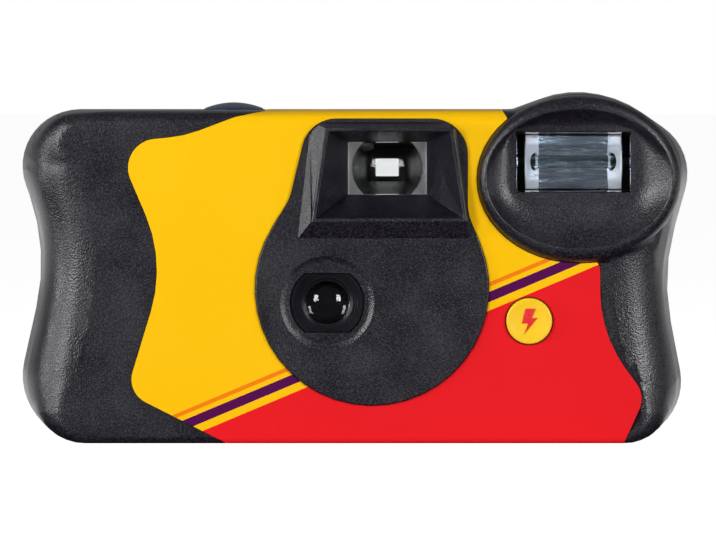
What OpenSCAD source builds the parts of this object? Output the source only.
// A disposable 35 mm film camera with a built-in flash, in millimetres.
// +Z is up, -Y is the front with the lens, +X is the side with the flash.

/* [Body] */
// Overall width across the two grips
body_w = 118; // [117:0.5:126]
// Height of the flat top
body_h = 58.7; // [58.5:0.1:62]
// Overall depth, from the hood rim to the thumbwheel
overall_d = 38; // [37.5:0.5:42]
// Wall thickness of the two covers
wall = 1.6; // [1.3:0.1:1.8]
// Depth of the front cover, from the label face to the parting line
front_cover_d = 21.5; // [20:0.5:23]
// How far the hood stands out of the label face
hood_proud = 2.5; // [1.5:0.1:3.5]
// How far the thumbwheel stands out of the back
wheel_proud = 1.5; // [0.8:0.1:2]
// Running gap of parts that move against each other
run_gap = 0.3; // [0.2:0.05:0.4]
// Radial gap of a pin that turns in its bore
pin_gap = 0.05; // [0.02:0.01:0.1]
// Gap of parts that are seated in each other
seat_gap = 0.1; // [0.05:0.01:0.15]

/* [Outline] */
// Radius of the upper left corner
corner_top_r = 10; // [8:0.5:12]
// Radius of the lower left corner
corner_low_r = 11.5; // [10:0.5:13]
// Radius of the lower right corner
corner_right_r = 10.5; // [9:0.5:12]
// How far the lower right corner stays in from the widest point
corner_right_in = 1.1; // [0.5:0.1:2]
// How far the left waist draws in
waist_left_in = 3.3; // [2.5:0.1:3.6]
// Height of the left waist
waist_left_z = 31.5; // [29:0.5:34]
// How far the right waist draws in
waist_right_in = 3.6; // [2.5:0.1:4]
// Height of the right waist
waist_right_z = 28; // [26:0.5:30]
// Radius of the waist curves
waist_r = 37; // [33:1:45]
// Width of the front edge's rounding on the grips
grip_edge_w = 8; // [6:0.5:8.5]
// Depth of the front edge's rounding on the grips
grip_edge_d = 7; // [6:0.5:8]
// Rounding of the top edges
top_edge_r = 2.5; // [2:0.1:3]
// Rounding of the bottom edges
low_edge_r = 1.2; // [1:0.1:1.4]
// Rounding of the rear edges at the sides
rear_edge_r = 3; // [2.5:0.1:3.5]
// Draft of the sides over the depth of a cover
side_draft = 1; // [0.6:0.1:1.2]

/* [Flash pod] */
// How far the pod rises above the body's top
pod_rise = 3.05; // [2.3:0.05:4]
// Radius of the pod's top in the outline
pod_top_r = 20; // [18:0.5:21]
// Radius of the pod's outer end in the outline
pod_end_r = 10; // [9:0.5:11]
// Pod's outer end, down from the body's top
pod_end_down = 11.4; // [10.7:0.1:12.7]
// Pod centre, in from the right side
pod_in = 19.5; // [19:0.1:20]
// Pod centre, down from the body's top
pod_down = 12.1; // [11.9:0.1:12.7]
// Half width of the pod
pod_a = 18; // [17.6:0.1:18]
// Half height of the pod
pod_b = 14.8; // [14.4:0.1:14.8]
// How far the pod's crest stands out of the label face
pod_proud = 1.8; // [1:0.1:2.4]
// Width of the pod's outer rounding
pod_round_w = 1.9; // [1.2:0.1:2.4]
// Width of the pod's rim at its two sides
rim_side_w = 1.5; // [1.3:0.1:2.3]
// Width of the pod's rim at its top and bottom
rim_top_w = 2.5; // [2.1:0.1:3]
// Depth of the dish floor behind the label face
dish_d = 0.8; // [0.6:0.1:1.4]
// Half width of the dish floor
dish_floor_a = 11.2; // [10.8:0.1:12]
// Half height of the dish floor
dish_floor_b = 6.3; // [6:0.1:6.8]
// How far the dish bows between its rim and its floor, 0 for a straight funnel
dish_bow = 0.9; // [0:0.05:0.95]
// Wall of the dish
dish_wall = 1.3; // [1:0.1:1.5]
// Width of the flash window
win_w = 20.1; // [19:0.1:20.5]
// Height of the flash window
win_h = 10.6; // [10:0.1:11]
// Window centre, left of the pod centre
win_left = 1; // [0.5:0.1:1.5]
// Window centre, above the pod centre
win_up = 3; // [2.8:0.1:3.4]
// Thickness of the flash window
win_t = 2.2; // [1.8:0.1:2.4]

/* [Lens panel] */
// Lens axis, across
lens_x = -4.9; // [-5.5:0.1:-4.5]
// Lens axis, height
lens_z = 24.8; // [24.6:0.1:25.6]
// Panel centre, across
panel_x = 3; // [2:0.1:4]
// Panel centre, height
panel_z = 27.3; // [26.5:0.1:28]
// Radius of the round part of the panel
panel_r = 20.6; // [20:0.1:21]
// How far the panel stands out of the label face
panel_raise = 0.6; // [0.4:0.1:1]
// Panel's top edge, down from the body's top
panel_top_down = 1.5; // [1.3:0.1:1.9]
// Right side of the panel's neck
neck_right_x = 19.8; // [19.5:0.1:20.2]
// Left side of the panel's neck at its top
neck_left_x = -9.3; // [-9.6:0.1:-9]
// Lean of the neck's left side
neck_lean = 1.6; // [1:0.1:2.2]
// Radius of the curves where the neck meets the round part
neck_r = 8.5; // [8:0.1:9]
// Radius of the panel's upper right corner
panel_right_r = 6.3; // [5:0.1:7]
// Radius of the panel's upper left corner
panel_left_r = 6; // [5:0.1:7]
// Radius of the dish around the lens opening
lens_dish_r = 8.3; // [8:0.1:9]
// Radius of the lens opening
lens_hole_r = 6.6; // [6.5:0.1:7]
// Half height between the flats of the lens opening
lens_flat = 5.25; // [5.2:0.05:5.6]

/* [Viewfinder] */
// Viewfinder axis, across
vf_x = 5.7; // [5.4:0.1:6]
// Viewfinder axis, down from the body's top
vf_down = 10.25; // [9.9:0.05:10.4]
// Window width
vf_w = 13.9; // [13:0.1:14.2]
// Window height
vf_h = 9.3; // [9:0.1:9.6]
// Depth of the funnel behind the label face
vf_funnel_d = 5.9; // [5.5:0.1:6.2]
// Wall of the funnel
vf_wall = 1.2; // [1:0.1:1.3]
// Hood opening centre, across
hood_x = 6.1; // [5.8:0.1:6.4]
// Hood opening width at the top
hood_top_w = 21.4; // [20.5:0.1:22]
// Hood opening width at the bottom
hood_low_w = 26.1; // [25:0.1:26.2]
// Top of the hood opening, down from the body's top
hood_top_down = 3.7; // [3.5:0.1:4.1]
// Bottom of the hood opening, down from the body's top
hood_low_down = 19; // [18.3:0.1:19.3]
// Lip of the hood at its rim
hood_lip = 0.6; // [0.4:0.1:0.7]
// Flare of the hood to the left
hood_flare_left = 2.6; // [2:0.1:3]
// Flare of the hood to the right
hood_flare_right = 0.3; // [0.2:0.1:0.6]
// Flare of the hood at the top
hood_flare_top = 1.1; // [0.8:0.1:1.4]
// Flare of the hood at the bottom
hood_flare_low = 3; // [2:0.1:3.4]
// Thickness of the front finder lens
vf_lens_t = 2; // [1.6:0.1:2.4]
// Eyepiece width
eye_w = 8.4; // [8:0.1:9]
// Eyepiece height
eye_h = 6.4; // [6:0.1:7]
// Flange around the eyepiece
eye_flange = 0.8; // [0.6:0.1:1]
// Raised rim around the eyepiece
eye_rim = 0.7; // [0.5:0.1:0.8]
// Width of the raised rim
eye_rim_w = 1.6; // [1.2:0.1:2]

/* [Label] */
// Thickness of the label and of its recess
label_t = 0.25; // [0.2:0.05:0.3]
// Radius of the label's four lobes
lobe_r = 4.5; // [4:0.1:5]
// Left lobes, in from the left side
lobe_left_in = 24.1; // [23.5:0.1:25]
// Upper left lobe's centre, down from the body's top
lobe_up_down = 10.1; // [9.7:0.1:10.7]
// Height of the lower left lobe
lobe_low_z = 11.3; // [11:0.1:12]
// Right lobe, in from the right side
lobe_right_in = 13; // [12.6:0.1:13.5]
// Height of the right lobe
lobe_right_z = 7.9; // [7.6:0.1:8.4]
// Radius of the label's waist curves
label_waist_r = 25; // [24:0.5:27]
// Left waist of the label, in from the left side
label_left_in = 24.1; // [23.8:0.1:24.6]
// Height of the label's left waist
label_left_z = 30.5; // [30:0.1:31]
// Right waist of the label, in from the right side
label_right_in = 15.8; // [15.5:0.1:16.2]
// Height of the label's right waist
label_right_z = 27; // [26:0.5:27.5]
// Where the label crosses the top edge on the left
label_top_left = -5; // [-6:0.1:-4]
// Radius of the upper left lobe
lobe_up_r = 5.1; // [4.8:0.1:5.2]
// Radius of the hollow curve beside the upper left lobe
label_swoop_r = 21; // [18:0.5:21]
// Radius of the shoulder where the label turns to the top edge
shoulder_r = 10; // [8:0.5:10]
// Shoulder centre, right of the upper left lobe
shoulder_right = 16.5; // [16.5:0.1:18]
// Shoulder's top, down from the body's top
shoulder_down = 0.8; // [0.6:0.1:1.1]
// Where the label crosses the top edge on the right
label_top_right = 23.5; // [23:0.1:24]
// Where the label crosses the bottom edge on the left
label_low_left = -15.5; // [-17:0.1:-15]

/* [Shutter button] */
// Button axis, across
btn_x = -21.4; // [-21.6:0.1:-21.2]
// Button axis, in depth
btn_y = -5.5; // [-6:0.1:-5.2]
// Button radius
btn_r = 5.35; // [5:0.05:5.5]
// Rise of the button's crown above the top
btn_rise = 1.35; // [1:0.05:1.6]
// Straight part of the button above the top
btn_edge = 0.3; // [0.2:0.05:0.4]
// Flange that keeps the button in
btn_flange = 0.8; // [0.6:0.1:1]
// Thickness of the flange
btn_flange_t = 1; // [0.8:0.1:1.2]
// Travel of the button
btn_travel = 1.2; // [0.8:0.1:1.4]
// Radius of the button's stem
btn_stem_r = 1.1; // [1:0.1:1.3]
// Mean radius of the return spring
btn_spring_r = 1.9; // [1.8:0.1:2.1]

/* [Flash button] */
// Flash button, in from the right side
fb_in = 28.3; // [28:0.1:28.6]
// Flash button height
fb_z = 21.6; // [21.2:0.1:22]
// Flash button radius
fb_r = 4.05; // [3.8:0.05:4.2]
// How far the flash button stands out of the label
fb_proud = 0.9; // [0.6:0.1:1.2]
// Travel of the flash button
fb_travel = 0.7; // [0.5:0.1:0.8]
// Flange that keeps the flash button in
fb_flange = 0.8; // [0.6:0.1:1]
// Thickness of that flange
fb_flange_t = 0.6; // [0.5:0.1:0.7]

/* [Film] */
// Film width
film_w = 35; // [34.8:0.1:35.2]
// Film thickness
film_t = 0.15; // [0.12:0.01:0.2]
// Film plane, in from the inside of the back
film_in = 3.9; // [3.6:0.1:4.2]
// Picture width
gate_w = 36; // [35:0.5:36]
// Picture height
gate_h = 24; // [23:0.5:24]
// Cassette radius
cas_r = 12.5; // [12.3:0.1:12.6]
// Cassette height over its caps
cas_h = 44; // [43.6:0.1:44.2]
// Sheet thickness of the cassette
cas_sheet = 0.3; // [0.25:0.05:0.4]
// Rim height of a cassette cap
cap_rim = 2; // [1.6:0.1:2.4]
// Radius of the hole in a cassette cap
cap_hole_r = 5.2; // [5:0.1:5.6]
// Radius of the cassette spool's core
spool_r = 5.5; // [5.4:0.1:5.8]
// Wall of the cassette chamber
chamber_wall = 1.1; // [0.9:0.1:1.2]
// Radius of the unexposed roll
roll_r = 9.4; // [9:0.1:9.6]
// Supply axis, in from the right side
sup_in = 28; // [27.7:0.1:28.2]
// Radius of the supply spool
sup_r = 4; // [3.6:0.1:4.4]
// Radius of the supply spool's pivots
sup_pin_r = 2; // [1.8:0.1:2.2]
// Wall of the supply chamber
sup_wall = 1; // [0.8:0.1:1.1]
// Thickness of the supply chamber's ends
sup_end_t = 0.7; // [0.6:0.1:0.8]

/* [Thumbwheel] */
// Thickness of the thumbwheel
wheel_t = 4.4; // [4:0.1:4.6]
// Teeth around the thumbwheel
wheel_teeth = 60; // [48:1:64]
// Depth of the teeth
wheel_tooth = 0.5; // [0.4:0.1:0.6]
// Radius of the wheel's shaft
wheel_shaft_r = 3; // [2.8:0.1:3.2]
// Radius of the fork that turns the spool
fork_r = 2.5; // [2.3:0.1:2.6]
// Length of the fork
fork_l = 4.5; // [4:0.1:5]
// Depth of the thumb recess in the back
thumb_d = 0.7; // [0.5:0.1:0.8]
// Half width of the thumb recess
thumb_half = 14; // [12:0.5:15]

/* [Film door] */
// Thickness of the door
door_t = 1.3; // [1.1:0.1:1.4]
// Gap around the door
door_gap = 0.3; // [0.2:0.05:0.4]
// Radius of the hinge pins
door_pin_r = 0.5; // [0.45:0.05:0.6]
// Length of each hinge pin
door_pin_l = 0.8; // [0.6:0.1:0.9]
// Width of the finger tab at the front
door_tab_w = 3.5; // [3:0.1:5]
// Reach of the finger tab
door_tab_l = 3.6; // [3:0.1:3.8]

/* [Shutter] */
// Lens radius
glass_r = 4.2; // [4:0.1:4.3]
// Lens thickness
glass_t = 1.9; // [1.7:0.1:2]
// Radius of the lens's front curve
glass_curve = 12; // [10:0.5:16]
// Radius of the lens retainer's base
retainer_r = 9; // [8.8:0.1:9.1]
// Thickness of the retainer's base
retainer_t = 1.4; // [1.3:0.1:1.5]
// Radius of the open mouth of the retainer
mouth_r = 4.7; // [4.5:0.1:4.8]
// Radius of the stop
stop_r = 1.5; // [1.3:0.1:1.7]
// Thickness of thin sheet parts
sheet_t = 0.3; // [0.25:0.05:0.3]
// Thickness of the shutter blade
blade_t = 0.25; // [0.2:0.05:0.25]
// Blade pivot, left of the lens axis
blade_left = 7.4; // [7.2:0.1:7.6]
// Blade pivot, above the lens axis
blade_up = 6.3; // [6.2:0.1:6.6]
// Radius of the blade over the stop
blade_r = 2.4; // [2.2:0.1:2.6]
// Width of the blade's arms
blade_arm_w = 1.6; // [1.4:0.1:1.8]
// Radius of the blade's pivot pin
blade_pin_r = 0.9; // [0.8:0.1:1]
// Radius of the lever posts
post_r = 1.2; // [1.1:0.1:1.3]
// Thickness of the levers
lever_t = 1.5; // [1.4:0.1:1.6]
// Striker pivot, left of the lens axis
he_left = 5.5; // [5.3:0.1:5.7]
// Striker pivot, in depth
he_y = -4.5; // [-4.7:0.1:-4.3]
// Teeth of the sprocket
spr_teeth = 8; // [8:1:8]
// Film pitch per sprocket tooth
perf_pitch = 4.75; // [4.74:0.01:4.76]
// Sprocket axis, left of the lens axis
spr_left = 13.6; // [13.4:0.1:13.8]
// Radius of the sprocket's shaft
spr_shaft_r = 1.5; // [1.4:0.1:1.6]
// Radius of the metering cam
meter_cam_r = 4.2; // [4:0.1:4.3]
// Reach of the cocking cam
cock_cam_r = 4.6; // [4.4:0.1:4.7]
// Reach of the counter finger
finger_r = 3.4; // [3.2:0.1:3.5]
// Radius of the counter dial
dial_r = 8.2; // [8:0.1:8.3]
// Teeth of the counter dial
dial_teeth = 40; // [36:1:44]
// Thickness of the counter dial
dial_t = 1.4; // [1.2:0.1:1.5]
// Radius of the counter window
cw_r = 2.4; // [2.2:0.1:2.6]

/* [Flash] */
// Thickness of the circuit board
board_t = 1.2; // [1:0.1:1.3]
// Board, in from the inside of the front
board_in = 2.7; // [2.6:0.1:2.8]
// Capacitor radius
cap_r = 4.75; // [4.5:0.05:4.8]
// Capacitor length
cap_l = 26; // [25:0.5:26.5]
// Width of the reflector's mouth
refl_w = 17.5; // [17:0.1:18]
// Height of the reflector's mouth
refl_h = 9.9; // [9.4:0.1:10]
// Depth of the reflector
refl_d = 6; // [5.6:0.1:6.2]
// Sheet thickness of the reflector
refl_t = 0.5; // [0.4:0.1:0.6]
// Radius of the flash tube
tube_r = 1.2; // [1.1:0.05:1.3]
// Half length of the flash tube's glass
tube_half = 14; // [13.5:0.1:14.2]
// Battery radius
bat_r = 5.25; // [5.2:0.05:5.3]
// Battery length
bat_l = 44.5; // [44:0.1:44.5]
// Left end of the battery
bat_x = -24.5; // [-24.7:0.1:-24.3]
// Ready light, across
ready_x = 20.3; // [20:0.1:20.6]
// Ready light, in depth
ready_y = -9; // [-9.3:0.1:-8.7]
// Radius of the ready light's rod
ready_r = 1.4; // [1.2:0.1:1.5]

/* [Hidden] */
$fn = 48;
eps = 0.01;
reach = 200;
cut = 1;
turn_step = 9;
edge_step = 18;
pod_points = 48;
half_w = body_w / 2;
hood_y = -overall_d / 2;
face_y = hood_y + hood_proud;
back_y = overall_d / 2 - wheel_proud;
part_y = face_y + front_cover_d;
in_front = face_y + wall;
in_back = back_y - wall;
in_top = body_h - wall;
panel_y = face_y - panel_raise;
lip_gap = 0.25;
lip_t = 0.8;
lip_l = 1.6;
lip_root = 1;
lip_in = wall + lip_gap + lip_t;
least_round = 0.3;
tip_r = 0.5;

// Outline of the body: arcs and their common tangents, walked anticlockwise seen from the front.
// Each circle is [x, z, r]; a negative r is a hollow curve.
function wrap_turn(a) = a - 360 * floor(a / 360);
function tangent_dir(p, q) =
    let (d = [q[0] - p[0], q[1] - p[1]])
    atan2(d[1], d[0]) - acos((p[2] - q[2]) / norm(d));
function belt(c, step) =
    let (n = len(c))
    [for (i = [0:n - 1])
        let (q = c[i])
        let (a0 = tangent_dir(c[(i + n - 1) % n], q))
        let (a1 = tangent_dir(q, c[(i + 1) % n]))
        let (span = q[2] > 0 ? wrap_turn(a1 - a0) : -wrap_turn(a0 - a1))
        let (k = max(1, ceil(abs(span) / step - eps)))
        for (j = [0:k])
            let (a = a0 + span * j / k)
            [q[0] + q[2] * cos(a), q[1] + q[2] * sin(a), cos(a), sin(a)]];
function inset(path, d) = [for (p = path) [p[0] - d * p[2], p[1] - d * p[3]]];
function mix(a, b, f) = a + (b - a) * f;
// Largest radius of a hollow curve that still has a common tangent with the round one beside it.
tangent_slack = 0.5;
function hollow_limit(rise, deep, r) = (rise * rise + deep * deep) / (2 * deep) - r - tangent_slack;

pod_x = half_w - pod_in;
pod_top_z = body_h + pod_rise;
pod_end_z = body_h - pod_end_down;
pod_z = body_h - pod_down;
panel_top_z = body_h - panel_top_down;
lobe_up_z = body_h - lobe_up_down;
vf_z = body_h - vf_down;
hood_top_z = body_h - hood_top_down;
hood_low_z = body_h - hood_low_down;
notch_r = 3;
notch_slack = 0.5;
notch_z = body_h + notch_r;
notch_rise = notch_z - pod_top_z + pod_top_r;
notch_x = pod_x - sqrt(pow(pod_top_r + notch_r + notch_slack, 2) - notch_rise * notch_rise);
waist_left_r = min(waist_r,
    hollow_limit(body_h - corner_top_r - waist_left_z, waist_left_in, corner_top_r),
    hollow_limit(waist_left_z - corner_low_r, waist_left_in, corner_low_r));
waist_right_r = min(waist_r,
    hollow_limit(pod_end_z - waist_right_z, waist_right_in, pod_end_r),
    hollow_limit(waist_right_z - corner_right_r, waist_right_in - corner_right_in, corner_right_r));
body_path = belt([
    [corner_low_r - half_w, corner_low_r, corner_low_r],
    [half_w - corner_right_in - corner_right_r, corner_right_r, corner_right_r],
    [half_w - waist_right_in + waist_right_r, waist_right_z, -waist_right_r],
    [half_w - pod_end_r, pod_end_z, pod_end_r],
    [pod_x, pod_top_z - pod_top_r, pod_top_r],
    [notch_x, notch_z, -notch_r],
    [corner_top_r - half_w, body_h - corner_top_r, corner_top_r],
    [waist_left_in - half_w - waist_left_r, waist_left_z, -waist_left_r]], turn_step);

// Shells: each ring is the outline drawn in by an amount that depends on which way its edge faces.
function edge_low(p) = p[3] > 0 ? top_edge_r : low_edge_r;
function edge_mix(p, side) = mix(edge_low(p), side, p[2] * p[2]);
function shell_point(p, k, y) = [p[0] - k * p[2], y, p[1] - k * p[3]];
function flat_ring(k, y) = [for (p = body_path) shell_point(p, k, y)];
function shell_ring(a, side_w, side_d, t, y0, toward) =
    [for (p = body_path)
        let (w = max(edge_mix(p, side_w) - t, least_round))
        let (d = max(edge_mix(p, side_d) - t, least_round))
        shell_point(p, p[2] * p[2] * side_draft + t + w * (1 - cos(a)), y0 + toward * d * (1 - sin(a)))];

module loft(rings) {
    m = len(rings[0]);
    k = len(rings);
    sides = [for (i = [0:k - 2], j = [0:m - 1])
        let (a = i * m + j)
        let (b = i * m + (j + 1) % m)
        each [[a, a + m, b + m], [a, b + m, b]]];
    first = [for (j = [0:m - 1]) j];
    last = [for (j = [m - 1:-1:0]) (k - 1) * m + j];
    polyhedron([for (r = rings) each r], concat(sides, [first, last]));
}
module front_form(t, over) {
    intersection() {
        loft(concat([flat_ring(t, part_y + over + cut), flat_ring(t, part_y + over)],
            [for (a = [0:edge_step:90]) shell_ring(a, grip_edge_w, grip_edge_d, t, face_y + t, 1)],
            [shell_ring(90, grip_edge_w, grip_edge_d, t, face_y + t - cut, 1)]));
        block(-reach, reach, face_y + t, part_y + over, -reach, reach);
    }
}
module rear_form(t, over) {
    intersection() {
        loft(concat([shell_ring(90, rear_edge_r, rear_edge_r, t, back_y - t + cut, -1)],
            [for (a = [90:-edge_step:0]) shell_ring(a, rear_edge_r, rear_edge_r, t, back_y - t, -1)],
            [flat_ring(t, part_y - over), flat_ring(t, part_y - over - cut)]));
        block(-reach, reach, part_y - over, back_y - t, -reach, reach);
    }
}
module along_y(y0, y1) {
    translate([0, y1, 0]) rotate([90, 0, 0]) linear_extrude(y1 - y0) children();
}
module along_x(x0, x1) {
    translate([x0, 0, 0]) rotate([90, 0, 90]) linear_extrude(x1 - x0) children();
}
module block(x0, x1, y0, y1, z0, z1) {
    translate([x0, y0, z0]) cube([x1 - x0, y1 - y0, z1 - z0]);
}
module rod_x(r, x0, x1, y, z) {
    translate([x0, y, z]) rotate([0, 90, 0]) cylinder(r = r, h = x1 - x0);
}
module rod_y(r, x, y0, y1, z) {
    translate([x, y1, z]) rotate([90, 0, 0]) cylinder(r = r, h = y1 - y0);
}
module rod_z(r, x, y, z0, z1) {
    translate([x, y, z0]) cylinder(r = r, h = z1 - z0);
}
module bar_2d(x0, y0, x1, y1, w) {
    a = atan2(y1 - y0, x1 - x0);
    l = norm([x1 - x0, y1 - y0]);
    translate([x0, y0]) rotate(a) translate([0, -w / 2]) square([l, w]);
    translate([x0, y0]) circle(w / 2);
    translate([x1, y1]) circle(w / 2);
}
// A wire coil about Z; the sweep stops a little short of its nominal ends.
coil_points = 14;
wire_points = 6;
module coil(r, wire, turns, z0, z1) {
    n = turns * coil_points;
    echo(coil_least_gap = (z1 - z0) / turns - 2 * wire);
    loft([for (i = [0:n])
        let (a = i * 360 / coil_points)
        let (z = mix(z0 + wire, z1 - wire, i / n))
        [for (j = [0:wire_points - 1])
            let (b = -j * 360 / wire_points)
            [(r + wire * cos(b)) * cos(a), (r + wire * cos(b)) * sin(a), z + wire * sin(b)]]]);
}

// Label: one sheet round the front, top, back and bottom, sunk flush into both covers.
wrap_path = belt([
    [face_y + low_edge_r, low_edge_r, low_edge_r],
    [back_y - low_edge_r, low_edge_r, low_edge_r],
    [back_y - top_edge_r, body_h - top_edge_r, top_edge_r],
    [face_y + top_edge_r, body_h - top_edge_r, top_edge_r]], edge_step);
label_over = 3;
swoop_slack = 0.1;
swoop_z = lobe_up_z + lobe_up_r + label_swoop_r + swoop_slack;
label_top_over = 1.6;
label_corner_r = 2;
label_corner_up = 3.5;
label_low_right = 13.5;
label_right_r = min(label_waist_r,
    hollow_limit(label_right_z - lobe_right_z, label_right_in - lobe_right_in + lobe_r, lobe_r));
label_left_r = min(label_waist_r,
    hollow_limit(lobe_up_z - label_left_z, label_left_in - lobe_left_in + lobe_up_r, lobe_up_r),
    hollow_limit(label_left_z - lobe_low_z, label_left_in - lobe_left_in + lobe_r, lobe_r));
label_path = belt([
    [label_low_left, -label_over, tip_r],
    [half_w - label_low_right, -label_over, tip_r],
    [half_w - lobe_right_in, lobe_right_z, lobe_r],
    [half_w - label_right_in + label_right_r, label_right_z, -label_right_r],
    [half_w - label_right_in - label_corner_r, label_right_z + label_corner_up, label_corner_r],
    [label_top_right, body_h + label_over, tip_r],
    [label_top_left, body_h + label_top_over, tip_r],
    [lobe_left_in - half_w + shoulder_right, body_h - shoulder_down - shoulder_r, shoulder_r],
    [lobe_left_in - half_w, swoop_z, -label_swoop_r],
    [lobe_left_in - half_w, lobe_up_z, lobe_up_r],
    [label_left_in - half_w - label_left_r, label_left_z, -label_left_r],
    [lobe_left_in - half_w, lobe_low_z, lobe_r]], turn_step);
module label_zone(grow, out) {
    intersection() {
        along_x(-half_w, half_w) difference() {
            polygon(inset(wrap_path, -out));
            polygon(inset(wrap_path, label_t));
        }
        along_y(-reach, reach) polygon(inset(label_path, -grow));
    }
}

// Lens panel and hood
neck_slack = 0.3;
neck_far = panel_r + neck_r + neck_slack;
neck_rx = neck_right_x + neck_r;
neck_lx = neck_left_x - neck_r - neck_lean;
panel_path = belt([
    [panel_x, panel_z, panel_r],
    [neck_rx, panel_z + sqrt(neck_far * neck_far - pow(neck_rx - panel_x, 2)), -neck_r],
    [neck_right_x - panel_right_r, panel_top_z - panel_right_r, panel_right_r],
    [neck_left_x + panel_left_r, panel_top_z - panel_left_r, panel_left_r],
    [neck_lx, panel_z + sqrt(neck_far * neck_far - pow(neck_lx - panel_x, 2)), -neck_r]], turn_step);
panel_root = 0.4;
lens_dish_d = 0.4;
lens_dish_step = 0.2;
module panel() {
    along_y(panel_y, in_front - panel_root) polygon(inset(panel_path, 0));
}
function quad(x, low, top, z0, z1, g) =
    [[x - low / 2 - g, z0 - g], [x + low / 2 + g, z0 - g],
    [x + top / 2 + g, z1 + g], [x - top / 2 - g, z1 + g]];
function hood_quad(g) = quad(hood_x, hood_low_w, hood_top_w, hood_low_z, hood_top_z, g);
function vf_quad(g) = quad(vf_x, vf_w, vf_w, vf_z - vf_h / 2, vf_z + vf_h / 2, g);
funnel_y = face_y + vf_funnel_d;
funnel_f = hood_proud / (hood_proud + vf_funnel_d);
hood_flares = [[-hood_flare_left, -hood_flare_low], [hood_flare_right, -hood_flare_low],
    [hood_flare_right, hood_flare_top], [-hood_flare_left, hood_flare_top]];
hood_edge_in = 0.2;
slab = 0.05;
module hood() {
    intersection() {
        hull() {
            along_y(hood_y, hood_y + slab) polygon(hood_quad(hood_lip));
            along_y(panel_y + slab, panel_y + 2 * slab) polygon(hood_quad(hood_lip) + hood_flares);
        }
        along_y(hood_y - cut, face_y) polygon(inset(panel_path, hood_edge_in));
    }
}
module funnel_shell() {
    hull() {
        along_y(face_y + slab, face_y + 2 * slab)
            polygon(mix(hood_quad(vf_wall), vf_quad(vf_wall), funnel_f));
        along_y(funnel_y - slab, funnel_y) polygon(vf_quad(vf_wall));
    }
}
module funnel_void() {
    hull() {
        along_y(hood_y - slab, hood_y - slab / 2) polygon(hood_quad(0));
        along_y(funnel_y + slab, funnel_y + 2 * slab) polygon(vf_quad(0));
    }
}

// Flash pod: an oval boss with a hollow dish that runs back to the window
pod_y = face_y - pod_proud;
pod_root = 8.5;
pod_round_d = 2.2;
dish_y = face_y + dish_d;
win_x = pod_x - win_left;
win_z = pod_z + win_up;
mouth_a = pod_a - rim_side_w;
mouth_b = pod_b - rim_top_w;
function oval(x, z, a, b, y) =
    [for (i = [0:pod_points - 1])
        let (t = i * 360 / pod_points)
        [x + a * cos(t), y, z + b * sin(t)]];
// The dish runs from the oval rim to a floor with rounded corners; f goes from 0 at the rim to 1.
dish_steps = 6;
corner_power = 0.3;
function squared(c) = sign(c) * pow(abs(c), corner_power);
function dish_ring(f, g) =
    [for (i = [0:pod_points - 1])
        let (t = i * 360 / pod_points)
        [mix(pod_x + (mouth_a + g) * cos(t), win_x + (dish_floor_a + g) * squared(cos(t)), f),
        mix(pod_y, dish_y, f * (1 + dish_bow - dish_bow * f)) + g,
        mix(pod_z + (mouth_b + g) * sin(t), win_z + (dish_floor_b + g) * squared(sin(t)), f)]];
module pod() {
    difference() {
        loft(concat([oval(pod_x, pod_z, pod_a, pod_b, face_y + pod_root)],
            [for (a = [0:edge_step:90])
                let (d = pod_round_w * (1 - cos(a)))
                oval(pod_x, pod_z, pod_a - d, pod_b - d, pod_y + pod_round_d * (1 - sin(a)))]));
        front_form(wall, cut);
    }
    loft([for (i = [dish_steps:-1:0]) dish_ring(i / dish_steps, dish_wall)]);
}
module dish_void() {
    loft(concat([for (i = [dish_steps:-1:0]) dish_ring(i / dish_steps, 0)],
        [oval(pod_x, pod_z, mouth_a, mouth_b, pod_y - cut)]));
}

// Places of the inner parts
film_y = in_back - film_in;
film_z0 = lens_z - film_w / 2;
film_z1 = lens_z + film_w / 2;
lip_space = 1.5;
cas_x = waist_left_in - half_w + wall + lip_space + chamber_wall + run_gap + cas_r;
cas_y = in_back - run_gap - cas_r;
cas_z0 = lens_z - cas_h / 2;
cas_z1 = lens_z + cas_h / 2;
chamber_r = cas_r + run_gap;
chamber_out = chamber_r + chamber_wall;
sup_x = half_w - sup_in;
sup_y = film_y - roll_r - pin_gap;
roll_space = 0.5;
sup_void_r = roll_r + roll_space;
sup_out = sup_void_r + sup_wall;
sup_z0 = film_z0 - run_gap;
sup_z1 = film_z1 + run_gap;
deck_gap = 0.2;
deck_z0 = film_z1 + deck_gap;
deck_t = 1.2;
deck_z1 = deck_z0 + deck_t;
gate_x0 = lens_x - gate_w / 2;
gate_x1 = lens_x + gate_w / 2;
gate_t = 1.5;
gate_y1 = film_y - seat_gap;
gate_y0 = gate_y1 - gate_t;
plate_in = 2.5;
plate_t = 1.2;
plate_y0 = in_front + plate_in;
plate_y1 = plate_y0 + plate_t;
blade_y1 = plate_y0 - seat_gap;
blade_y0 = blade_y1 - blade_t;
blade_space = 0.25;
stop_y1 = blade_y0 - blade_space;
stop_y0 = stop_y1 - sheet_t;
retainer_y1 = stop_y0;
retainer_y0 = retainer_y1 - retainer_t;
blade_x = lens_x - blade_left;
blade_z = lens_z + blade_up;
roof_gap = 0.4;
roof_t = 1;
roof_z0 = cas_z1 + roof_gap;
wheel_z0 = roof_z0 + roof_t + run_gap;
wheel_z1 = wheel_z0 + wheel_t;
wheel_r = overall_d / 2 - cas_y;
slot_gap = 0.4;
slot_half = sqrt(wheel_r * wheel_r - pow(in_back - cut - cas_y, 2)) + 2 * slot_gap;
thumb_curve = (thumb_half * thumb_half + thumb_d * thumb_d) / (2 * thumb_d);
thumb_over = 4;
meter_z0 = deck_z1 + run_gap;
strike_z0 = meter_z0 + lever_t + run_gap;
strike_z1 = strike_z0 + lever_t;
spr_r = spr_teeth * perf_pitch / (2 * PI);
spr_x = lens_x - spr_left;
spr_y = film_y - spr_r;
perf_row = 2;
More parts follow.
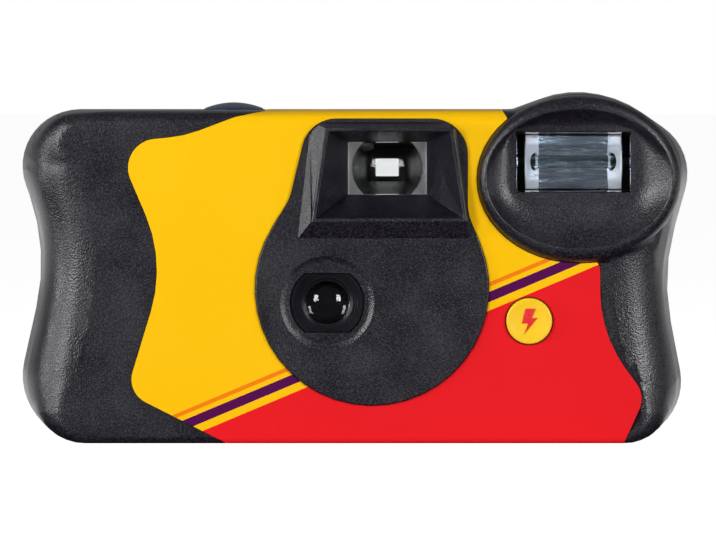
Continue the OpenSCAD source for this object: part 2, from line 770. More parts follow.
spr_t = 2.4;
spr_z0 = film_z1 - perf_row - spr_t / 2;
spr_z1 = spr_z0 + spr_t;
spr_tooth = 1.2;
spr_tip = spr_r + spr_tooth;
dial_under = 1.3;
dial_z1 = in_top - dial_under;
dial_z0 = dial_z1 - dial_t;
dial_x = spr_x + finger_r + run_gap + dial_r;
dial_y = spr_y;
dial_show = 5.8;
cw_y = dial_y - dial_show;
he_x = lens_x - he_left;
meter_left = 1.5;
meter_fore = 6.4;
meter_x = spr_x - meter_left;
meter_y = spr_y - meter_fore;
board_y0 = in_front + board_in;
board_y1 = board_y0 + board_t;
fb_x = half_w - fb_in;
win_rise = 0.7;
win_y0 = dish_y - win_rise;
win_y1 = win_y0 + win_t;
refl_y0 = win_y1 + seat_gap;
refl_y1 = refl_y0 + refl_d;
tube_in = 1.9;
tube_y = refl_y1 - tube_in;
bat_front_gap = 0.35;
bat_low_gap = 0.6;
bat_x1 = bat_x + bat_l;
bat_y = in_front + bat_front_gap + bat_r;
bat_z = wall + bat_low_gap + bat_r;
door_in = 0.2;
door_x0 = cas_x - cas_r - run_gap;
door_right = 0.4;
door_fore = 0.8;
hinge_in = 0.8;
door_x1 = cas_x + cas_r + door_right;
door_y0 = cas_y - cas_r - door_fore;
door_y1 = in_back - door_gap;
door_hinge_x = door_x1 - hinge_in;
door_hinge_z = door_in + door_t / 2;
door_cut_z = 3.2;

// Openings that both covers share
module door_opening() {
    block(door_x0 - door_gap, door_x1 + door_gap, door_y0 - door_gap, door_y1 + door_gap, -cut, door_cut_z);
    block(cas_x - door_tab_w / 2 - door_gap, cas_x + door_tab_w / 2 + door_gap,
        door_y0 - door_tab_l - door_gap, door_y0, -cut, wall + cut);
    rod_y(door_pin_r + pin_gap, door_hinge_x, door_y0 - door_pin_l - 2 * door_gap,
        door_y1 + door_pin_l + door_gap, door_hinge_z);
}
module top_openings() {
    rod_z(btn_r + btn_hole_gap, btn_x, btn_y, in_top - cut, body_h + cut);
    rod_z(cw_r + seat_gap, dial_x, cw_y, in_top - cut, body_h + cut);
    rod_z(cw_r + cw_flange + seat_gap, dial_x, cw_y, in_top - cut, in_top);
    rod_z(ready_r + seat_gap, ready_x, ready_y, in_top - cut, body_h + cut);
}
btn_hole_gap = 0.1;
fb_hole_gap = 0.12;
module lens_opening(g) {
    intersection() {
        rod_y(lens_hole_r - g, lens_x, hood_y, in_front + cut, lens_z);
        block(-reach, reach, hood_y, in_front + cut, lens_z - lens_flat + g, lens_z + lens_flat - g);
    }
}
module front_cover() color([0.16, 0.15, 0.17]) {
    difference() {
        union() {
            difference() {
                front_form(0, 0);
                front_form(wall, cut);
                label_zone(seat_gap, 2 * cut);
            }
            panel();
            hood();
            funnel_shell();
            pod();
            for (p = board_posts) {
                rod_y(board_post_r, p[0], in_front - panel_root, board_y0, p[1]);
            }
        }
        funnel_void();
        dish_void();
        block(win_x - win_w / 2 - seat_gap, win_x + win_w / 2 + seat_gap, win_y0 - cut, win_y1 + cut,
            win_z - win_h / 2 - seat_gap, win_z + win_h / 2 + seat_gap);
        lens_opening(0);
        translate([lens_x, panel_y + lens_dish_d, lens_z]) rotate([90, 0, 0])
            cylinder(r1 = lens_hole_r + lens_dish_step, r2 = lens_dish_r, h = lens_dish_d + eps);
        rod_y(fb_r + fb_hole_gap, fb_x, face_y - cut, in_front + cut, fb_z);
        top_openings();
        door_opening();
    }
}
slot_in = 4;
module eye_block(g, y0, y1) {
    block(vf_x - eye_w / 2 - g, vf_x + eye_w / 2 + g, y0, y1, vf_z - eye_h / 2 - g, vf_z + eye_h / 2 + g);
}
module rear_cover() color([0.15, 0.14, 0.16]) {
    difference() {
        union() {
            difference() {
                rear_form(0, 0);
                rear_form(wall, cut);
                label_zone(seat_gap, 2 * cut);
            }
            difference() {
                along_y(part_y - lip_l, part_y + lip_root) polygon(inset(body_path, wall + lip_gap));
                along_y(part_y - lip_l - cut, part_y + lip_root + cut) polygon(inset(body_path, lip_in));
            }
            difference() {
                along_y(part_y + eps, part_y + lip_root) polygon(inset(body_path, wall - lip_gap));
                along_y(part_y - cut, part_y + lip_root + cut) polygon(inset(body_path, lip_in));
            }
            for (z = pad_rows) {
                block(gate_x0, gate_x1, film_y + film_t + seat_gap, in_back + eps, z, z + pad_h);
            }
            eye_block(eye_rim_w, back_y - wall / 2, back_y + eye_rim);
        }
        eye_block(seat_gap, in_back - cut, back_y + 2 * cut);
        rod_z(thumb_curve, cas_x, back_y + thumb_curve - thumb_d,
            wheel_z0 - thumb_over, wheel_z1 + thumb_over);
        block(cas_x - slot_half, cas_x + slot_half, part_y + slot_in, back_y + cut,
            wheel_z0 - slot_gap, wheel_z1 + slot_gap);
        rod_z(cas_r + seat_gap, cas_x, cas_y, wall, cas_z1 + seat_gap);
        top_openings();
        door_opening();
    }
}
pad_h = 1.4;
pad_low = 3;
pad_high = 5.2;
pad_rows = [film_z0 + pad_low, film_z1 - pad_high];
board_post_r = 1.2;
post_left_in = 33;
post_right_in = 11.6;
post_left_z = 6;
post_low_z = 12;
post_high_z = 33.5;
board_posts = [[half_w - post_left_in, post_left_z], [half_w - post_right_in, post_high_z],
    [half_w - post_right_in, post_low_z]];

module film_door() color([0.14, 0.13, 0.15]) {
    intersection() {
        along_y(door_y0, door_y1) difference() {
            polygon(inset(body_path, door_in));
            polygon(inset(body_path, door_in + door_t));
        }
        block(door_x0, door_x1, door_y0 - cut, door_y1 + cut, -cut, door_cut_z - door_gap);
    }
    block(cas_x - door_tab_w / 2, cas_x + door_tab_w / 2, door_y0 - door_tab_l, door_y0 + cut,
        door_in, door_in + door_t);
    rod_y(door_pin_r, door_hinge_x, door_y0 - door_pin_l, door_y0 + door_pin_l, door_hinge_z);
    rod_y(door_pin_r, door_hinge_x, door_y1 - door_pin_l, door_y1 + door_pin_l, door_hinge_z);
}
module label() color([0.95, 0.72, 0.06]) {
    difference() {
        label_zone(0, 0);
        along_y(hood_y - cut, in_front) polygon(inset(panel_path, -seat_gap));
        loft([oval(pod_x, pod_z, pod_a + seat_gap, pod_b + seat_gap, in_front),
            oval(pod_x, pod_z, pod_a + seat_gap, pod_b + seat_gap, hood_y - cut)]);
        rod_y(fb_r + 2 * fb_hole_gap, fb_x, face_y - cut, in_front, fb_z);
        rod_z(btn_r + 2 * btn_hole_gap, btn_x, btn_y, in_top, body_h + cut);
        rod_z(cw_r + 2 * seat_gap, dial_x, cw_y, in_top, body_h + cut);
        rod_z(ready_r + 2 * seat_gap, ready_x, ready_y, in_top, body_h + cut);
        eye_block(eye_rim_w + seat_gap, in_back, back_y + cut);
        block(cas_x - thumb_half - cut, cas_x + thumb_half + cut, in_back, back_y + cut,
            wheel_z0 - thumb_over - seat_gap, body_h - top_edge_r);
    }
}
btn_z1 = body_h + btn_rise;
btn_crown = btn_rise - btn_edge;
btn_crown_r = (btn_r * btn_r + btn_crown * btn_crown) / (2 * btn_crown);
btn_flange_z = in_top - seat_gap - btn_flange_t;
btn_foot_z = deck_z1 + btn_travel;
spring_seat = 1.6;
spring_z0 = deck_z1 + spring_seat;
module shutter_button() color([0.22, 0.26, 0.36]) {
    intersection() {
        rod_z(btn_r, btn_x, btn_y, btn_flange_z, btn_z1 + cut);
        translate([btn_x, btn_y, btn_z1 - btn_crown_r]) sphere(btn_crown_r, $fn = 96);
    }
    rod_z(btn_r + btn_flange, btn_x, btn_y, btn_flange_z, btn_flange_z + btn_flange_t);
    rod_z(btn_stem_r, btn_x, btn_y, btn_foot_z, btn_flange_z + btn_flange_t);
}
spring_wire = 0.25;
btn_spring_turns = 8;
module button_spring() color([0.7, 0.7, 0.72]) {
    translate([btn_x, btn_y, 0])
        coil(btn_spring_r, spring_wire, btn_spring_turns, spring_z0 + 2 * eps, btn_flange_z - 2 * eps);
}
switch_dome = 0.7;
fb_foot_y = board_y0 - switch_dome - fb_travel - seat_gap;
fb_stem_r = 1.5;
module flash_button() color([0.95, 0.75, 0.1]) {
    rod_y(fb_r, fb_x, face_y - fb_proud, in_front + seat_gap + eps, fb_z);
    rod_y(fb_r + fb_flange, fb_x, in_front + seat_gap, in_front + seat_gap + fb_flange_t, fb_z);
    rod_y(fb_stem_r, fb_x, in_front + seat_gap, fb_foot_y, fb_z);
}
module thumbwheel() color([0.2, 0.2, 0.21]) {
    translate([cas_x, cas_y, 0]) {
        translate([0, 0, wheel_z0]) linear_extrude(wheel_t)
            polygon([for (i = [0:2 * wheel_teeth - 1])
                let (r = wheel_r - (i % 2) * wheel_tooth)
                let (a = i * 180 / wheel_teeth + 90)
                [r * cos(a), r * sin(a)]]);
        rod_z(wheel_shaft_r, 0, 0, cas_z1 + wheel_lift, wheel_z0 + cut);
        difference() {
            rod_z(fork_r, 0, 0, cas_z1 - fork_l, cas_z1 + cut);
            block(-fork_r - cut, fork_r + cut, -key_w / 2 - seat_gap, key_w / 2 + seat_gap,
                cas_z1 - fork_l - cut, cas_z1 - fork_l + key_h + seat_gap);
        }
    }
}
wheel_lift = 0.15;
key_w = 1.1;
key_h = 2;
key_root = 0.5;
spool_end = 0.8;
spool_play = 0.1;
module cassette_spool() color([0.12, 0.12, 0.13]) {
    translate([cas_x, cas_y, 0]) {
        difference() {
            union() {
                rod_z(spool_r, 0, 0, cas_z0 + spool_end, cas_z1 - spool_end);
                rod_z(cap_hole_r - 2 * seat_gap, 0, 0, cas_z0 + spool_play, cas_z1 - spool_play);
            }
            rod_z(fork_r + seat_gap, 0, 0, cas_z1 - fork_l - cut, cas_z1);
        }
        block(-fork_r - key_root, fork_r + key_root, -key_w / 2, key_w / 2,
            cas_z1 - fork_l - cut - key_root, cas_z1 - fork_l + key_h);
    }
}
lip_space_y = 0.5;
module cassette_shell() color([0.75, 0.74, 0.7]) {
    difference() {
        rod_z(cas_r - cas_sheet, cas_x, cas_y, cas_z0 + cas_sheet, cas_z1 - cas_sheet);
        rod_z(cas_r - 2 * cas_sheet, cas_x, cas_y, cas_z0, cas_z1);
        block(cas_x + spool_r + cut, cas_x + cas_r, film_y - lip_space_y, film_y + film_t + lip_space_y,
            film_z0 - lip_space_y, film_z1 + lip_space_y);
    }
}
module cassette_cap_ring(z0, z1, plate_z0, plate_z1) {
    difference() {
        rod_z(cas_r, cas_x, cas_y, z0, z1);
        rod_z(cas_r - cas_sheet + 2 * eps, cas_x, cas_y, z0 - cut, z1 + cut);
    }
    difference() {
        rod_z(cas_r - cas_sheet / 2, cas_x, cas_y, plate_z0, plate_z1);
        rod_z(cap_hole_r, cas_x, cas_y, plate_z0 - cut, plate_z1 + cut);
    }
}
module cassette_caps() color([0.6, 0.6, 0.62]) {
    cassette_cap_ring(cas_z0, cas_z0 + cap_rim, cas_z0, cas_z0 + cas_sheet);
    cassette_cap_ring(cas_z1 - cap_rim, cas_z1, cas_z1 - cas_sheet, cas_z1);
}
module film_strip() color([0.35, 0.25, 0.2]) {
    difference() {
        block(cas_x + spool_r + 2 * cut, sup_x, film_y, film_y + film_t, film_z0, film_z1);
        block(spr_x - spr_r, spr_x + spr_r, film_y - cut, film_y + cut, spr_z0 - seat_gap, spr_z1 + seat_gap);
    }
}
module film_roll() color([0.3, 0.22, 0.2]) {
    difference() {
        rod_z(roll_r, sup_x, sup_y, film_z0, film_z1);
        rod_z(sup_r + pin_gap, sup_x, sup_y, film_z0 - cut, film_z1 + cut);
    }
}
module supply_spool() color([0.15, 0.15, 0.16]) {
    rod_z(sup_r, sup_x, sup_y, sup_z0 + 2 * seat_gap, sup_z1 - 2 * seat_gap);
    rod_z(sup_pin_r, sup_x, sup_y, sup_z0 - sup_end_t, sup_z1 + sup_end_t);
}

// Inner chassis
plate_right = 22.4;
plate_low = 6.3;
plate_x0 = cas_x + cas_r - run_gap;
plate_x1 = lens_x + plate_right;
plate_z0 = lens_z - plate_low;
plate_f = (plate_y0 - hood_y) / (funnel_y - hood_y);
tunnel_w = 7;
tunnel_h = 6;
tunnel_wall = 1.2;
rail_low = 1.6;
rail_high = 0.3;
rail_left = 0.5;
rail_right = 3;
bat_end_t = 1.1;
bat_wall_h = 3;
bat_wall_z0 = 3;
bat_wall_z1 = plate_z0 + bat_wall_h;
contact_gap = 0.5;
foot_w = 3;
ledge_w = 6;
ledge_t = 1.4;
ledge_z1 = spr_z0 - run_gap;
tray_t = 1.1;
tray_over = 0.5;
tray_back = 2.4;
tray_z1 = vf_z + vf_h / 2 + tray_over;
deck_right = 4;
deck_x1 = vf_x + vf_w / 2 + deck_right;
chamber_low = 0.8;
chamber_side = 2;
he_post_h = 3.4;
meter_post_h = 2.6;
dial_post_r = 1.9;
spring_seat_w = 0.7;
spring_pin_r = 0.6;
spring_pin_l = 0.4;
spr_pin_r = 1;
post_root = 0.5;
module gate_rect(y0, y1, w, h) {
    block(lens_x - w / 2, lens_x + w / 2, y0, y1, lens_z - h / 2, lens_z + h / 2);
}
module main_frame() color([0.1, 0.1, 0.11]) {
    difference() {
        union() {
            hull() {
                gate_rect(plate_y0, plate_y0 + slab, tunnel_w + 2 * tunnel_wall, tunnel_h + 2 * tunnel_wall);
                gate_rect(gate_y0, gate_y0 + slab, gate_w + 2 * tunnel_wall, gate_h + 2 * tunnel_wall);
            }
            block(plate_x0, plate_x1, plate_y0, plate_y1, plate_z0, deck_z1);
            block(plate_x0 - rail_left, sup_x - sup_void_r + rail_right, gate_y0, gate_y1,
                film_z0 - rail_low, film_z1 + rail_high);
            block(plate_x0, deck_x1, plate_y0, gate_y1 - deck_gap, deck_z0, deck_z1);
            intersection() {
                rod_z(chamber_out, cas_x, cas_y, wall + chamber_low, roof_z0 + roof_t);
                union() {
                    block(cas_x - reach, cas_x + reach, -reach, cas_y, 0, body_h);
                    block(cas_x + chamber_side, cas_x + reach, -reach, gate_y1, film_z0 - rail_low, deck_z1);
                    rod_z(chamber_out, cas_x, cas_y, roof_z0, roof_z0 + roof_t);
                }
                along_y(-reach, in_back - seat_gap) polygon(inset(body_path, lip_in + seat_gap));
            }
            intersection() {
                rod_z(sup_out, sup_x, sup_y, sup_z0 - sup_end_t, sup_z1 + sup_end_t);
                block(-reach, reach, -reach, gate_y1, 0, body_h);
            }
            block(plate_x1 - cut, bat_x1 + contact_gap + bat_end_t, plate_y0, plate_y1,
                plate_z0, bat_wall_z1);
            for (x = [bat_x1 + contact_gap, bat_x - contact_gap - bat_end_t]) {
                block(x, x + bat_end_t, board_y0, bat_y + bat_r, bat_wall_z0, bat_wall_z1);
            }
            for (x = [sup_x - sup_void_r + cut, spr_x - foot_w]) {
                block(x, x + foot_w, gate_y0, gate_y1, wall, film_z0);
            }
            block(spr_x - ledge_w / 2, spr_x + ledge_w / 2, spr_y - ledge_w / 2, gate_y1,
                ledge_z1 - ledge_t, ledge_z1);
            for (x = [vf_x - vf_w / 2 - seat_gap - tray_t, vf_x + vf_w / 2 + seat_gap]) {
                block(x, x + tray_t, funnel_y + seat_gap, in_back - tray_back, deck_z0, tray_z1);
            }
            rod_z(post_r, he_x, he_y, deck_z0, strike_z1 + he_post_h);
            rod_z(post_r, meter_x, meter_y, deck_z0, meter_z0 + lever_t + meter_post_h);
            rod_z(dial_post_r, dial_x, dial_y, deck_z0, dial_z0 - run_gap);
            rod_z(post_r, dial_x, dial_y, deck_z0, dial_z1);
            rod_z(btn_spring_r + spring_seat_w, btn_x, btn_y, deck_z0, spring_z0);
            rod_y(blade_pin_r, blade_x, stop_y1, plate_y0 + post_root, blade_z);
            rod_y(spring_pin_r, blade_x - spring_far, spring_y - spring_pin_l, plate_y0 + post_root,
                blade_z + spring_up);
        }
        hull() {
            gate_rect(plate_y0 - slab, plate_y0 - slab / 2, tunnel_w, tunnel_h);
            gate_rect(gate_y0, gate_y0 + slab, gate_w, gate_h);
        }
        gate_rect(gate_y0, gate_y1 + cut, gate_w, gate_h);
        along_y(plate_y0 - cut, funnel_y + seat_gap)
            polygon(mix(hood_quad(vf_wall + run_gap), vf_quad(vf_wall + run_gap), plate_f));
        rod_z(chamber_r, cas_x, cas_y, 0, roof_z0);
        rod_z(wheel_shaft_r + pin_gap, cas_x, cas_y, roof_z0 - cut, roof_z0 + roof_t + cut);
        rod_z(sup_void_r, sup_x, sup_y, sup_z0, sup_z1);
        rod_z(sup_pin_r + pin_gap, sup_x, sup_y, sup_z0 - sup_end_t - cut, sup_z1 + sup_end_t + cut);
        rod_z(spr_tip + run_gap, spr_x, spr_y, spr_z0 - run_gap, spr_z1 + run_gap);
        rod_z(spr_shaft_r + pin_gap, spr_x, spr_y, spr_z1, deck_z1 + cut);
        rod_z(spr_pin_r + pin_gap, spr_x, spr_y, ledge_z1 - ledge_t - cut, spr_z0);
        rod_z(btn_stem_r + run_gap, btn_x, btn_y, deck_z0 - cut, spring_z0 + cut);
    }
}
spring_far = 7.6;
spring_up = 5.5;
spring_fore = 0.9;
spring_y = blade_y0 - spring_fore;

// Lens and shutter
glass_y0 = retainer_y1 - glass_t - pin_gap;
ring_sink = 0.5;
ring_y0 = panel_y + ring_sink;
ring_gap = 0.15;
ring_root = 0.5;
glass_lap = 0.5;
foot_r = 1;
foot_side = 7;
foot_half = 3;
foot_up = 7.6;
foot_spots = [[foot_side, foot_half], [foot_side, -foot_half], [-foot_r, foot_up]];
module taking_lens() color([0.75, 0.85, 0.9]) {
    intersection() {
        rod_y(glass_r, lens_x, glass_y0, glass_y0 + glass_t, lens_z);
        translate([lens_x, glass_y0 + glass_curve, lens_z]) sphere(glass_curve, $fn = 96);
    }
}
module lens_retainer() color([0.08, 0.08, 0.09]) {
    difference() {
        union() {
            rod_y(retainer_r, lens_x, retainer_y0, retainer_y1, lens_z);
            intersection() {
                lens_opening(ring_gap);
                block(-reach, reach, ring_y0, retainer_y0 + ring_root, 0, body_h);
            }
            for (p = foot_spots) {
                rod_y(foot_r, lens_x + p[0], retainer_y1 - ring_root, plate_y0, lens_z + p[1]);
            }
        }
        rod_y(glass_r + seat_gap, lens_x, glass_y0 - seat_gap, retainer_y1 + eps, lens_z);
        translate([lens_x, glass_y0, lens_z]) rotate([90, 0, 0])
            cylinder(r1 = glass_r - glass_lap, r2 = mouth_r, h = glass_y0 - ring_y0 + eps);
    }
}
stop_rim = 1;
module aperture_plate() color([0.1, 0.1, 0.1]) {
    difference() {
        rod_y(glass_r + stop_rim, lens_x, stop_y0, stop_y1, lens_z);
        rod_y(stop_r, lens_x, stop_y0 - cut, stop_y1 + cut, lens_z);
    }
}
ear_l = 1.2;
ear_w = 1;
module shutter_blade() color([0.2, 0.2, 0.22]) {
    along_y(blade_y0, blade_y1) difference() {
        union() {
            bar_2d(blade_x, blade_z, lens_x, lens_z, blade_arm_w);
            translate([lens_x, lens_z]) circle(blade_r);
            bar_2d(blade_x, blade_z, blade_x, strike_z1 - blade_arm_w / 2, blade_arm_w);
            translate([blade_x, blade_z]) circle(2 * blade_pin_r);
            bar_2d(blade_x, blade_z + spring_up, blade_x - ear_l, blade_z + spring_up, ear_w);
        }
        translate([blade_x, blade_z]) circle(blade_pin_r + pin_gap);
    }
}
blade_spring_r = 0.7;
blade_spring_wire = 0.12;
blade_spring_turns = 6;
blade_spring_ends = 2.9;
module shutter_spring() color([0.72, 0.72, 0.74]) {
    translate([blade_x - spring_far + blade_spring_r, spring_y, blade_z + spring_up]) rotate([0, 90, 0])
        coil(blade_spring_r, blade_spring_wire, blade_spring_turns, 0, spring_far - blade_spring_ends);
}
strike_tip_r = 0.6;
strike_gap = 0.4;
he_hub_w = 1;
tail_r = 1;
tail_gap = 0.46;
strike_x = blade_x - blade_arm_w / 2 - strike_gap - strike_tip_r;
strike_y = (blade_y0 + blade_y1) / 2;
tail_dir = [spr_x - he_x, spr_y - he_y];
tail_f = 1 - (cock_cam_r + tail_gap + tail_r) / norm(tail_dir);
module high_energy_lever() color([0.85, 0.83, 0.78]) {
    difference() {
        union() {
            translate([0, 0, strike_z0]) linear_extrude(lever_t) {
                bar_2d(he_x, he_y, strike_x, strike_y, 2 * strike_tip_r);
                bar_2d(he_x, he_y, he_x + tail_dir[0] * tail_f, he_y + tail_dir[1] * tail_f, 2 * tail_r);
            }
            rod_z(post_r + he_hub_w, he_x, he_y, meter_z0, strike_z1);
        }
        rod_z(post_r + pin_gap, he_x, he_y, meter_z0 - cut, strike_z1 + cut);
    }
}
he_spring_out = 0.5;
he_spring_turns = 3;
he_spring_l = 3.1;
module high_energy_spring() color([0.72, 0.72, 0.74]) {
    translate([he_x, he_y, strike_z1 + seat_gap])
        coil(post_r + he_spring_out, spring_wire, he_spring_turns, 0, he_spring_l);
}
nose_r = 0.5;
nose_left = 0.4;
nose_x = spr_x - nose_left;
nose_y = spr_y - meter_cam_r - run_gap - nose_r;
pawl_r = 0.6;
pawl_fore = 0.85;
pawl_over = 1.5;
meter_hub_w = 0.7;
pawl_y = meter_y - pawl_fore;
pawl_x = cas_x + sqrt(wheel_r * wheel_r - pow(cas_y - pawl_y, 2)) + 2 * run_gap + pawl_r;
module metering_lever() color([0.82, 0.8, 0.75]) {
    difference() {
        union() {
            translate([0, 0, meter_z0]) linear_extrude(lever_t) {
                bar_2d(meter_x, meter_y, nose_x, nose_y, 2 * nose_r);
                bar_2d(meter_x, meter_y, pawl_x, pawl_y, 2 * pawl_r);
                translate([meter_x, meter_y]) circle(post_r + meter_hub_w);
            }
            rod_z(pawl_r, pawl_x, pawl_y, meter_z0, wheel_z0 + pawl_over);
        }
        rod_z(post_r + pin_gap, meter_x, meter_y, meter_z0 - cut, meter_z0 + lever_t + cut);
    }
}
meter_spring_out = 0.35;
meter_spring_wire = 0.2;
meter_spring_turns = 2.5;
meter_spring_l = 2.4;
module metering_spring() color([0.72, 0.72, 0.74]) {
    translate([meter_x, meter_y, meter_z0 + lever_t + seat_gap])
        coil(post_r + meter_spring_out, meter_spring_wire, meter_spring_turns, 0, meter_spring_l);
}
spr_film_gap = 0.15;
tooth_w = 1.6;
tooth_in = 0.3;
cam_notch_w = 1.8;
cam_notch_d = 1;
cam_hub_in = 1.2;
finger_hub_w = 0.7;
module sprocket_wheel() color([0.88, 0.86, 0.82]) {
    translate([spr_x, spr_y, 0]) {
        rod_z(spr_r - spr_film_gap, 0, 0, spr_z0, spr_z1);
        for (i = [0:spr_teeth - 1]) {
            rotate(i * 360 / spr_teeth)
                block(spr_r - cut, spr_tip, -tooth_w / 2, tooth_w / 2, spr_z0 + tooth_in, spr_z1 - tooth_in);
        }
        rod_z(spr_pin_r, 0, 0, ledge_z1 - ledge_t + seat_gap, spr_z0 + cut);
        rod_z(spr_shaft_r, 0, 0, spr_z1 - cut, dial_z1);
        difference() {
            rod_z(meter_cam_r, 0, 0, meter_z0, meter_z0 + lever_t);
            block(-cam_notch_w / 2, cam_notch_w / 2, meter_cam_r - cam_notch_d, meter_cam_r + cut,
                meter_z0 - cut, meter_z0 + lever_t + cut);
        }
        translate([0, 0, strike_z0]) linear_extrude(lever_t) {
            circle(meter_cam_r - cam_hub_in);
            bar_2d(0, 0, 0, cock_cam_r - tail_r, 2 * tail_r);
        }
        translate([0, 0, dial_z0]) linear_extrude(dial_t) {
            circle(spr_shaft_r + finger_hub_w);
            bar_2d(0, 0, 0, finger_r - nose_r, 2 * nose_r);
        }
    }
}
dial_tooth = 0.5;
module counter_dial() color([0.93, 0.93, 0.9]) {
    translate([dial_x, dial_y, 0]) difference() {
        translate([0, 0, dial_z0]) linear_extrude(dial_t)
            polygon([for (i = [0:2 * dial_teeth - 1])
                let (r = dial_r - (i % 2) * dial_tooth)
                let (a = i * 180 / dial_teeth)
                [r * cos(a), r * sin(a)]]);
        rod_z(post_r + pin_gap, 0, 0, dial_z0 - cut, dial_z1 + cut);
    }
}

// Clear parts
top_sink = 0.1;
rim_t = 0.8;
cw_flange = 0.4;
module counter_window() color([0.85, 0.9, 0.92]) {
    rod_z(cw_r, dial_x, cw_y, in_top - rim_t, body_h - top_sink);
    rod_z(cw_r + cw_flange, dial_x, cw_y, in_top - rim_t, in_top - pin_gap);
}
ready_up = 0.4;
ready_z0 = win_z + ready_up;
module ready_light_pipe() color([0.9, 0.6, 0.3]) {
    rod_z(ready_r, ready_x, ready_y, ready_z0, body_h - top_sink);
    rod_z(ready_r + rim_t, ready_x, ready_y, in_top - rim_t, in_top - pin_gap);
}
vf_dish_r = 14;
vf_dish_d = 1.45;
module viewfinder_front_lens() color([0.8, 0.9, 0.93]) {
    difference() {
        block(vf_x - vf_w / 2, vf_x + vf_w / 2, funnel_y + seat_gap, funnel_y + seat_gap + vf_lens_t,
            vf_z - vf_h / 2, vf_z + vf_h / 2);
        translate([vf_x, funnel_y + seat_gap + vf_lens_t - vf_dish_d + vf_dish_r, vf_z])
            sphere(vf_dish_r, $fn = 96);
    }
}
eye_flange_t = 1.2;
eye_sink = 0.2;
module viewfinder_eyepiece() color([0.8, 0.9, 0.93]) {
    eye_block(0, in_back - eye_flange_t, back_y - eye_sink);
    eye_block(eye_flange, in_back - eye_flange_t, in_back - pin_gap);
}
win_hollow = 0.4;
module win_block(w, h, y0, y1) {
    block(win_x - w / 2, win_x + w / 2, y0, y1, win_z - h / 2, win_z + h / 2);
}
module flash_window() color([0.85, 0.9, 0.95]) {
    difference() {
        win_block(win_w, win_h, win_y0, win_y1);
        win_block(refl_w - 2 * refl_t, refl_h - 2 * refl_t, win_y1 - win_hollow, win_y1 + cut);
    }
}

// Flash unit and battery
parabola_n = 8;
function trough(h, d) = [for (i = [-parabola_n:parabola_n])
    let (t = i / parabola_n)
    [refl_y1 + d - (refl_d + d) * t * t, win_z + h * t]];
module flash_reflector() color([0.9, 0.9, 0.92]) {
    difference() {
        along_x(win_x - refl_w / 2, win_x + refl_w / 2) polygon(trough(refl_h / 2, refl_t));
        along_x(win_x - refl_w / 2 + refl_t, win_x + refl_w / 2 - refl_t)
            polygon(concat([[refl_y0 - cut, win_z - refl_h / 2 + refl_t]], trough(refl_h / 2 - refl_t, 0),
                [[refl_y0 - cut, win_z + refl_h / 2 - refl_t]]));
        rod_x(tube_r + seat_gap, win_x - win_w, win_x + win_w, tube_y, win_z);
    }
}
module flash_tube() color([0.85, 0.9, 0.95]) {
    rod_x(tube_r, win_x - tube_half, win_x + tube_half, tube_y, win_z);
}
electrode_l = 2;
module tube_electrodes() color([0.75, 0.72, 0.65]) {
    rod_x(tube_r / 2, win_x - tube_half - electrode_l, win_x - tube_half, tube_y, win_z);
    rod_x(tube_r / 2, win_x + tube_half, win_x + tube_half + electrode_l, tube_y, win_z);
}
board_w = 27;
board_right = 9;
board_up = 6.2;
board_low_in = 1.8;
board_corner = 5;
board_x1 = half_w - board_right;
board_x0 = board_x1 - board_w;
board_top = lens_z + board_up;
board_low = wall + board_low_in;
horn_left_w = 5.7;
horn_left_h = 11.5;
horn_right_w = 8;
horn_right_h = 5.6;
horn_out = 3.7;
horn_root = 3;
board_left = board_x0 - horn_out;
board_left_top = board_top + horn_left_h;
board_right_top = board_top + horn_right_h;
module circuit_board() color([0.75, 0.65, 0.4]) {
    along_y(board_y0, board_y1) polygon([
        [board_x0, board_low],
        [board_x1 - board_corner, board_low],
        [board_x1, board_low + board_corner],
        [board_x1, board_right_top],
        [board_x1 - horn_right_w, board_right_top],
        [board_x1 - horn_right_w, board_top],
        [board_left + horn_left_w, board_top],
        [board_left + horn_left_w, board_left_top],
        [board_left, board_left_top],
        [board_left, board_top - horn_root],
        [board_x0, board_top - horn_root]]);
}
resistor_r = 0.9;
resistor_l = 5;
resistor_in = 3;
resistor_x = board_x0 + resistor_in;
resistor_downs = [3, 8];
diode_r = 0.8;
diode_l = 4;
diode_in = 5;
diode_x = board_x0 + diode_in;
diode_down = 20;
transistor_w = 3.5;
transistor_h = 4;
transistor_t = 2.3;
transistor_in = 13;
transistor_x = board_x0 + transistor_in;
transistor_down = 8;
module board_components() color([0.3, 0.45, 0.6]) {
    for (d = resistor_downs) {
        rod_x(resistor_r, resistor_x, resistor_x + resistor_l, board_y1 + seat_gap + resistor_r,
            board_top - d);
    }
    rod_x(diode_r, diode_x, diode_x + diode_l, board_y1 + seat_gap + diode_r, board_top - diode_down);
    block(transistor_x, transistor_x + transistor_w, board_y1 + seat_gap, board_y1 + seat_gap + transistor_t,
        board_top - transistor_down, board_top - transistor_down + transistor_h);
}
cap_right = 12.6;
cap_low_in = 2.4;
cap_x = half_w - cap_right;
cap_y = board_y1 + seat_gap + cap_r;
cap_z0 = wall + cap_low_in;
module flash_capacitor() color([0.15, 0.15, 0.2]) {
    rod_z(cap_r, cap_x, cap_y, cap_z0, cap_z0 + cap_l);
}
transformer_w = 6.5;
transformer_h = 6.2;
transformer_t = 5.9;
transformer_in = 0.5;
transformer_up = 0.8;
transformer_x1 = board_x1 - transformer_in;
transformer_z0 = cap_z0 + cap_l + transformer_up;
module oscillator_transformer() color([0.8, 0.7, 0.3]) {
    block(transformer_x1 - transformer_w, transformer_x1,
        board_y1 + seat_gap, board_y1 + seat_gap + transformer_t,
        transformer_z0, transformer_z0 + transformer_h);
}
coil_r = 2.3;
coil_l = 7;
coil_down = 2;
module trigger_coil() color([0.55, 0.3, 0.15]) {
    rod_z(coil_r, board_left + horn_left_w / 2, board_y1 + seat_gap + coil_r,
        board_left_top - coil_down - coil_l, board_left_top - coil_down);
}
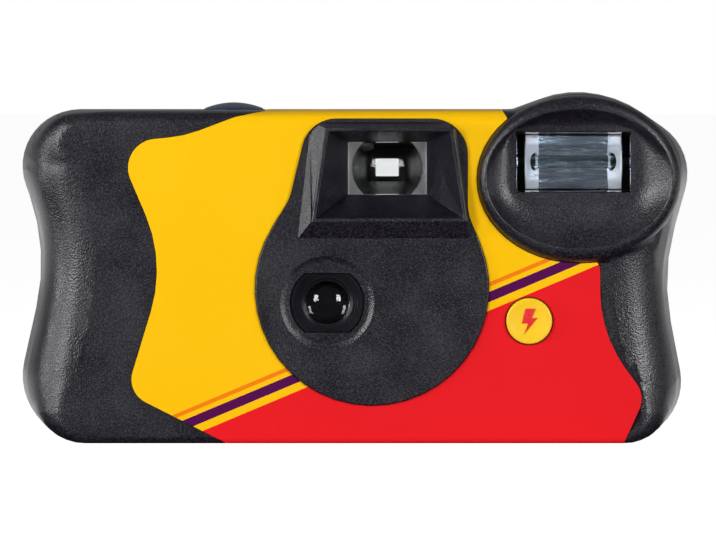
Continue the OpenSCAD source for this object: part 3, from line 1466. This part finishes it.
lamp_r = 1.6;
lamp_gap = 0.2;
module ready_lamp() color([0.95, 0.5, 0.25]) {
    rod_z(lamp_r, ready_x, ready_y, board_left_top + lamp_gap, ready_z0 - run_gap);
}
nub_r = 1.9;
nub_l = 1.2;
module battery() color([0.2, 0.2, 0.22]) {
    rod_x(bat_r, bat_x, bat_x1 - nub_l, bat_y, bat_z);
    rod_x(nub_r, bat_x1 - nub_l - cut, bat_x1, bat_y, bat_z);
}
pad_w = 4;
pad_up = 2.5;
plus_tail = 4;
plus_tail_h = 2.2;
module battery_contact_plus() color([0.8, 0.78, 0.7]) {
    x = bat_x1 + seat_gap;
    y = board_y0 - seat_gap;
    block(x, x + sheet_t, y - sheet_t, bat_y + pad_w / 2, bat_z - pad_up, bat_z + pad_up);
    block(x, board_x0 + plus_tail, y - sheet_t, y, bat_z + pad_up - plus_tail_h, bat_z + pad_up);
}
strip_w = 2.4;
minus_tail = 0.6;
minus_lap = 2;
module battery_contact_minus() color([0.8, 0.78, 0.7]) {
    x0 = bat_x - seat_gap;
    x1 = board_x0 + minus_tail;
    y = board_y1 + seat_gap;
    z = wall + seat_gap;
    block(x0 - sheet_t, x0, bat_y - pad_w / 2, bat_y + pad_w / 2, z, bat_z + pad_up);
    block(x0 - sheet_t, x1 + strip_w, bat_y - strip_w / 2, bat_y + strip_w / 2, z, z + sheet_t);
    block(x1, x1 + strip_w, y, bat_y + strip_w / 2, z, z + sheet_t);
    block(x1, x1 + strip_w, y, y + sheet_t, z, board_low + minus_lap);
}
switch_w = 6;
switch_h = 2.6;
dome_r = 1.2;
module flash_switch_strip() color([0.8, 0.75, 0.6]) {
    y = board_y0 - pin_gap;
    block(fb_x - switch_w / 2, fb_x + switch_w / 2, y - sheet_t, y, fb_z - switch_h / 2, fb_z + switch_h / 2);
    rod_y(dome_r, fb_x, board_y0 - switch_dome, y, fb_z);
}
sync_left = 1.3;
sync_pitch = 0.8;
sync_l = 1.5;
sync_up = 9.7;
sync_h = 5;
sync_x = lens_x - sync_left;
module sync_contacts() color([0.8, 0.75, 0.6]) {
    for (x = [sync_x, sync_x + sync_pitch]) {
        block(x, x + sheet_t, plate_y0 - sync_l, plate_y0, lens_z + sync_up, lens_z + sync_up + sync_h);
    }
}

front_cover();
rear_cover();
film_door();
label();
shutter_button();
flash_button();
thumbwheel();
flash_window();
viewfinder_front_lens();
viewfinder_eyepiece();
counter_window();
ready_light_pipe();
cassette_shell();
cassette_caps();
cassette_spool();
film_strip();
film_roll();
supply_spool();
main_frame();
taking_lens();
lens_retainer();
aperture_plate();
shutter_blade();
shutter_spring();
high_energy_lever();
high_energy_spring();
metering_lever();
metering_spring();
sprocket_wheel();
counter_dial();
button_spring();
circuit_board();
board_components();
flash_capacitor();
oscillator_transformer();
trigger_coil();
ready_lamp();
flash_reflector();
flash_tube();
tube_electrodes();
battery();
battery_contact_plus();
battery_contact_minus();
flash_switch_strip();
sync_contacts();
